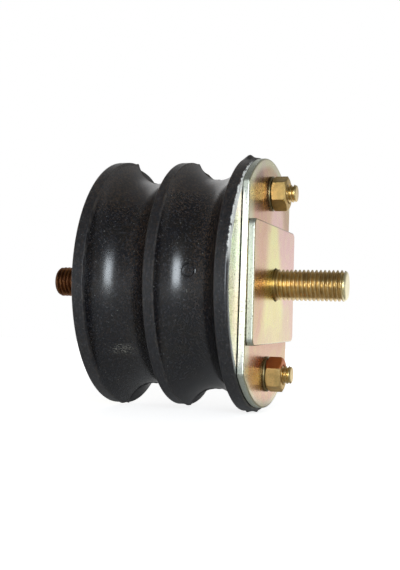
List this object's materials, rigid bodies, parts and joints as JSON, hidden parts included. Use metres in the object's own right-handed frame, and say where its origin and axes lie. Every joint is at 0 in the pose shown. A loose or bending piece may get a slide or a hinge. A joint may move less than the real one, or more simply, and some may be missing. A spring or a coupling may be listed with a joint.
{
  "type": "engine mount",
  "caption": "Round double-grooved rubber engine mount between bonded steel plates, with a threaded stud at each end and a bolted-on clamp plate at the front.",
  "frame": {"origin": "centre of the rear seating face, where the rear stud leaves it", "axes": "+X along the studs towards the front stud's tip, +Z along the clamp plate's long axis"},
  "size_m": [0.1119, 0.0908, 0.0908],
  "materials": {
    "rubber": "satin moulded black rubber, dusty in the grooves",
    "plate_zinc": "yellow passivated zinc, iridescent",
    "inner_steel": "plain steel, bonded and out of sight",
    "fastener_zinc": "golden passivated zinc",
    "washer_zinc": "pale passivated zinc",
    "rear_stud_zinc": "golden zinc gone brown with rust"
  },
  "bodies": {
    "root": {"rubber_body": "rubber", "rear_plate": "plate_zinc", "interleaf_plate": "inner_steel", "front_disc": "plate_zinc", "clamp_plate": "plate_zinc", "stud_plate": "plate_zinc", "front_stud": "fastener_zinc", "rear_stud": "rear_stud_zinc", "upper_bolt": "fastener_zinc", "upper_washer": "washer_zinc", "upper_nut": "fastener_zinc", "lower_bolt": "fastener_zinc", "lower_washer": "washer_zinc", "lower_nut": "fastener_zinc"}
  },
  "joints": []
}
